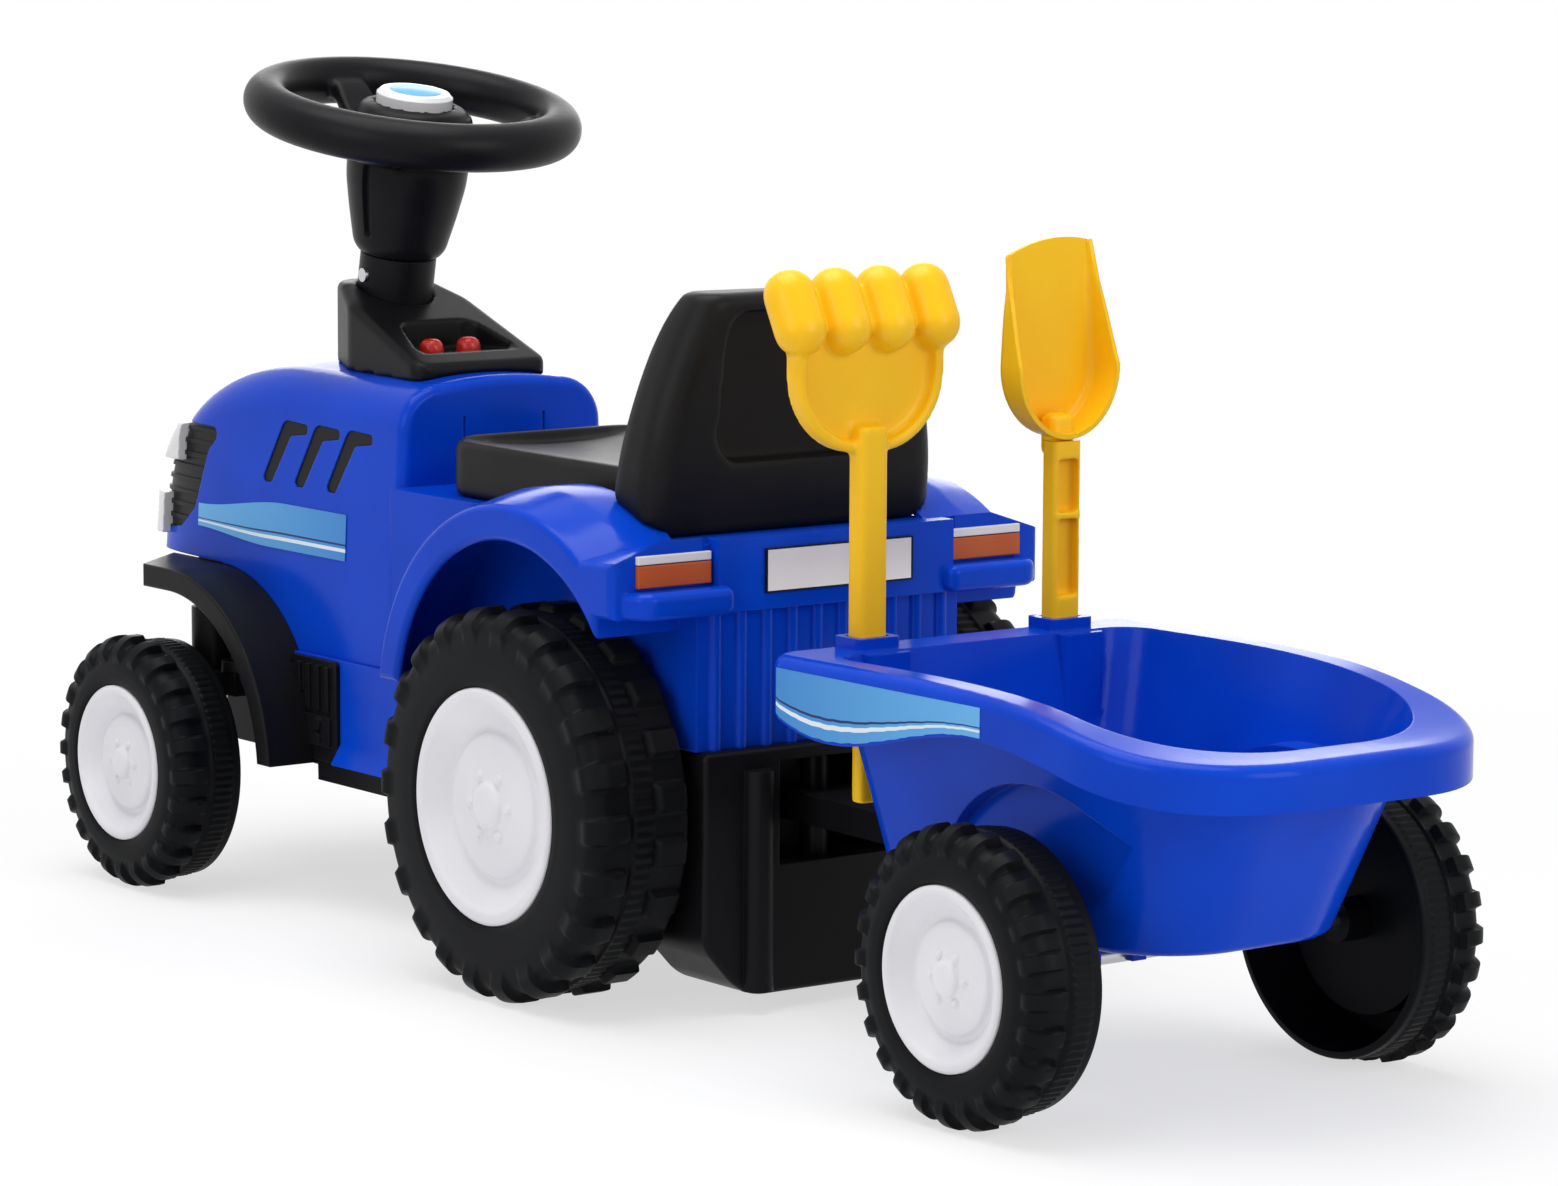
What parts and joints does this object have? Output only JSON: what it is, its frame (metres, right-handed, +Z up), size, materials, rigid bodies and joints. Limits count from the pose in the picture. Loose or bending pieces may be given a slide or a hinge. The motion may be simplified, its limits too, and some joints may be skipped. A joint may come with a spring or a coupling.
{
  "type": "ride-on toy tractor with trailer",
  "caption": "Child's ride-on toy tractor with a lift-up seat, steerable front wheels and a hitched tub trailer that holds a toy rake and shovel.",
  "frame": {"origin": "on the ground, in the middle of the tractor and trailer", "axes": "+X forward along the toy, +Y to its left, +Z up"},
  "size_m": [0.904, 0.2832, 0.436],
  "materials": {
    "blue_plastic": "semi-gloss moulded blue",
    "black_plastic": "satin moulded black",
    "black_tyre": "moulded black wheel, satin",
    "white_plastic": "glossy white",
    "yellow_plastic": "semi-gloss yellow",
    "red_plastic": "glossy red",
    "lamp_white": "glossy white decal face",
    "lamp_orange": "glossy orange decal face",
    "steel": "zinc plated"
  },
  "bodies": {
    "chassis": {"main_body": "blue_plastic", "hood": "blue_plastic", "hood_vents": "black_plastic", "grille": "black_plastic", "side_grilles": "black_plastic", "engine_panels": "black_plastic", "head_lamps": "lamp_white", "low_lamps": "lamp_white", "floor_pan": "black_plastic", "front_subframe": "black_plastic", "front_arch_left": "black_plastic", "front_arch_right": "black_plastic", "dash_console": "black_plastic", "sound_box": "black_plastic", "storage_tray": "black_plastic", "anti_tip_block": "black_plastic", "hitch_pin": "black_plastic", "tail_lamps_white": "lamp_white", "tail_lamps_orange": "lamp_orange", "number_plate": "white_plastic", "rear_axle": "steel", "rear_axle_caps": "black_plastic", "seat_hinge_pin": "steel", "body_screws": "steel"},
    "steering": {"steering_wheel": "black_plastic", "steering_boss": "black_plastic", "column_sleeve": "black_plastic", "steering_rod": "steel", "column_screw": "steel"},
    "horn": {"horn_button": "white_plastic"},
    "left_push_button": {"left_button": "red_plastic"},
    "right_push_button": {"right_button": "red_plastic"},
    "left_knuckle": {"left_kingpin": "steel", "left_kingpin_caps": "black_plastic", "left_steering_arm": "black_plastic"},
    "right_knuckle": {"right_kingpin": "steel", "right_kingpin_caps": "black_plastic", "right_steering_arm": "black_plastic"},
    "tie_bar": {"tie_rod": "black_plastic"},
    "seat_lid": {"seat": "black_plastic"},
    "trailer": {"trailer_tub": "blue_plastic", "drawbar": "black_plastic", "trailer_axle": "steel", "trailer_axle_caps": "black_plastic", "drawbar_screws": "steel"},
    "rake_tool": {"rake": "yellow_plastic"},
    "shovel_tool": {"shovel": "yellow_plastic"},
    "front_left_wheel": {"front_left_tyre": "black_tyre", "front_left_hub_cap": "white_plastic"},
    "front_right_wheel": {"front_right_tyre": "black_tyre", "front_right_hub_cap": "white_plastic"},
    "rear_left_wheel": {"rear_left_tyre": "black_tyre", "rear_left_hub_cap": "white_plastic"},
    "rear_right_wheel": {"rear_right_tyre": "black_tyre", "rear_right_hub_cap": "white_plastic"},
    "trailer_left_wheel": {"trailer_left_tyre": "black_tyre", "trailer_left_hub_cap": "white_plastic"},
    "trailer_right_wheel": {"trailer_right_tyre": "black_tyre", "trailer_right_hub_cap": "white_plastic"}
  },
  "joints": [
    {"name": "steering_turn", "type": "hinge", "parent": "chassis", "child": "steering", "pos_m": [0.282, 0, 0.409], "axis": [-0.1908, 0, 0.9816], "range_deg": [-25, 25]},
    {"name": "horn_press", "type": "slide", "parent": "steering", "child": "horn", "axis": [0.1908, 0, -0.9816], "range_m": [0, 0.003], "stiffness_N_per_m": 400},
    {"name": "left_button_press", "type": "slide", "parent": "chassis", "child": "left_push_button", "axis": [0, 0, -1], "range_m": [0, 0.002], "stiffness_N_per_m": 300},
    {"name": "right_button_press", "type": "slide", "parent": "chassis", "child": "right_push_button", "axis": [0, 0, -1], "range_m": [0, 0.002], "stiffness_N_per_m": 300},
    {"name": "left_kingpin_turn", "type": "hinge", "parent": "chassis", "child": "left_knuckle", "pos_m": [0.369, 0.072, 0.067], "axis": [0, 0, 1], "range_deg": [-25, 25]},
    {"name": "right_kingpin_turn", "type": "hinge", "parent": "chassis", "child": "right_knuckle", "pos_m": [0.369, -0.072, 0.067], "axis": [0, 0, 1], "range_deg": [-25, 25]},
    {"name": "tie_rod_pivot", "type": "hinge", "parent": "left_knuckle", "child": "tie_bar", "pos_m": [0.343, 0.072, 0.117], "axis": [0, 0, 1], "range_deg": [-25, 25]},
    {"name": "seat_hinge", "type": "hinge", "parent": "chassis", "child": "seat_lid", "pos_m": [0.172, 0, 0.232], "axis": [0, 1, 0], "range_deg": [0, 60]},
    {"name": "trailer_hitch", "type": "hinge", "parent": "chassis", "child": "trailer", "pos_m": [-0.066, 0, 0.095], "axis": [0, 0, 1], "range_deg": [-30, 30]},
    {"name": "rake_lift", "type": "slide", "parent": "trailer", "child": "rake_tool", "axis": [0, 0, 1], "range_m": [0, 0.1]},
    {"name": "shovel_lift", "type": "slide", "parent": "trailer", "child": "shovel_tool", "axis": [0, 0, 1], "range_m": [0, 0.1]},
    {"name": "front_left_spin", "type": "hinge", "parent": "left_knuckle", "child": "front_left_wheel", "pos_m": [0.369, 0.1, 0.067], "axis": [0, 1, 0], "continuous": true},
    {"name": "front_right_spin", "type": "hinge", "parent": "right_knuckle", "child": "front_right_wheel", "pos_m": [0.369, -0.1, 0.067], "axis": [0, 1, 0], "continuous": true},
    {"name": "rear_left_spin", "type": "hinge", "parent": "chassis", "child": "rear_left_wheel", "pos_m": [0.01, 0.1, 0.095], "axis": [0, 1, 0], "continuous": true},
    {"name": "rear_right_spin", "type": "hinge", "parent": "chassis", "child": "rear_right_wheel", "pos_m": [0.01, -0.1, 0.095], "axis": [0, 1, 0], "continuous": true},
    {"name": "trailer_left_spin", "type": "hinge", "parent": "trailer", "child": "trailer_left_wheel", "pos_m": [-0.329, 0.1, 0.067], "axis": [0, 1, 0], "continuous": true},
    {"name": "trailer_right_spin", "type": "hinge", "parent": "trailer", "child": "trailer_right_wheel", "pos_m": [-0.329, -0.1, 0.067], "axis": [0, 1, 0], "continuous": true}
  ],
  "couplings": [
    {"joint": "left_kingpin_turn", "follows": "steering_turn", "ratio": 1},
    {"joint": "right_kingpin_turn", "follows": "steering_turn", "ratio": 1},
    {"joint": "tie_rod_pivot", "follows": "steering_turn", "ratio": -1}
  ]
}
